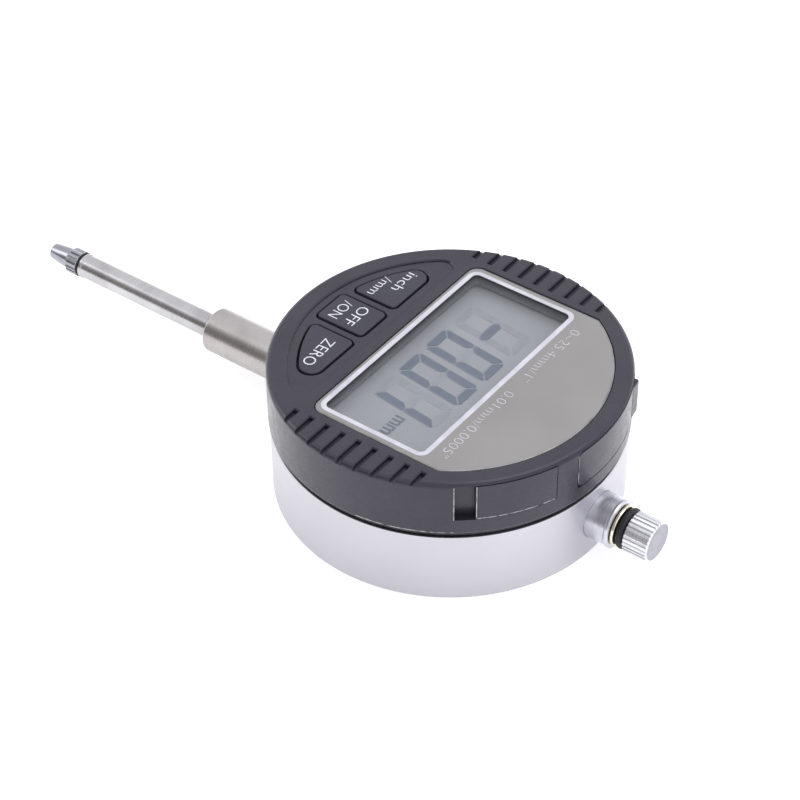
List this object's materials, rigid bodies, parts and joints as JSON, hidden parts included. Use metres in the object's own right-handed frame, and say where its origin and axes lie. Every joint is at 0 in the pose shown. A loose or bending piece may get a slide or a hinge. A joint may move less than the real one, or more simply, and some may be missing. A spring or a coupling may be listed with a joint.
{
  "type": "digital dial indicator",
  "caption": "Round digital dial indicator on its back: aluminium case, turning plastic display with keys, sprung spindle with contact point, clamping stem and lifting knob.",
  "frame": {"origin": "centre of the flat back face, on which the indicator lies", "axes": "+Z out of the display; +Y along the spindle towards the lifting knob, so the stem points along -Y; +X to the right of the display as read"},
  "size_m": [0.059, 0.128, 0.0245],
  "materials": {
    "aluminium": "fine satin",
    "stainless": "ground satin",
    "hard_steel": "turned, hardened",
    "nickel_brass": "polished",
    "housing_plastic": "fine moulded texture",
    "black_plastic": "moulded",
    "white_plastic": "moulded",
    "rubber": "black",
    "lens_print": "clear lens printed taupe behind",
    "lcd": "reflective display glass",
    "circuit_board": "solder mask",
    "chip": "moulded",
    "polyimide": "film",
    "cell": "bright"
  },
  "bodies": {
    "case": {"rear_case": "aluminium", "back_plate": "aluminium", "back_screw_1": "hard_steel", "back_screw_2": "hard_steel", "back_screw_3": "hard_steel", "back_screw_4": "hard_steel", "stem": "stainless", "lower_bush": "nickel_brass", "upper_boss": "aluminium", "upper_bush": "nickel_brass", "guide_rail": "hard_steel", "rail_screw_1": "hard_steel", "rail_screw_2": "hard_steel", "reader_board": "circuit_board", "reader_chip": "chip", "reader_screw_1": "hard_steel", "reader_screw_2": "hard_steel", "sensor_cable": "polyimide", "stop_pin": "hard_steel", "return_spring": "hard_steel"},
    "spindle_group": {"spindle": "stainless", "contact_point": "hard_steel", "contact_washer": "rubber", "knob_ring": "nickel_brass", "knob_o_ring": "rubber", "lifting_knob": "aluminium", "scale_carrier": "aluminium", "scale_strip": "circuit_board", "guide_pin": "hard_steel", "carrier_screw": "hard_steel"},
    "display_unit": {"display_housing": "housing_plastic", "lens": "lens_print", "lcd_glass": "lcd", "lcd_frame": "white_plastic", "zebra_strip": "rubber", "main_board": "circuit_board", "controller_chip": "chip", "button_mat": "rubber", "data_connector": "black_plastic", "battery_contact_minus": "nickel_brass", "battery_contact_plus": "nickel_brass", "display_base": "black_plastic", "base_screw_1": "hard_steel", "base_screw_2": "hard_steel", "base_screw_3": "hard_steel", "hub_clip": "hard_steel", "swivel_ring": "rubber"},
    "unit_key": {"unit_button": "housing_plastic"},
    "power_key": {"power_button": "housing_plastic"},
    "zero_key": {"zero_button": "housing_plastic"},
    "battery_tray": {"battery_drawer": "housing_plastic", "coin_cell": "cell"},
    "port_door": {"port_cover": "housing_plastic"}
  },
  "joints": [
    {"name": "spindle_lift", "type": "slide", "parent": "case", "child": "spindle_group", "axis": [0, 1, 0], "range_m": [0, 0.0254], "stiffness_N_per_m": 30, "springref_m": -0.025, "deforming": ["return_spring"]},
    {"name": "display_turn", "type": "hinge", "parent": "case", "child": "display_unit", "pos_m": [0, 0, 0.0143], "axis": [0, 0, 1], "range_deg": [-135, 135]},
    {"name": "unit_press", "type": "slide", "parent": "display_unit", "child": "unit_key", "axis": [0, 0, -1], "range_m": [0, 0.0006], "stiffness_N_per_m": 1500, "springref_m": -0.0002},
    {"name": "power_press", "type": "slide", "parent": "display_unit", "child": "power_key", "axis": [0, 0, -1], "range_m": [0, 0.0006], "stiffness_N_per_m": 1500, "springref_m": -0.0002},
    {"name": "zero_press", "type": "slide", "parent": "display_unit", "child": "zero_key", "axis": [0, 0, -1], "range_m": [0, 0.0006], "stiffness_N_per_m": 1500, "springref_m": -0.0002},
    {"name": "battery_drawer_slide", "type": "slide", "parent": "display_unit", "child": "battery_tray", "axis": [-0.1668, 0.986, 0], "range_m": [0, 0.026]},
    {"name": "port_cover_pull", "type": "slide", "parent": "display_unit", "child": "port_door", "axis": [0.5534, 0.8329, 0], "range_m": [0, 0.008]}
  ]
}
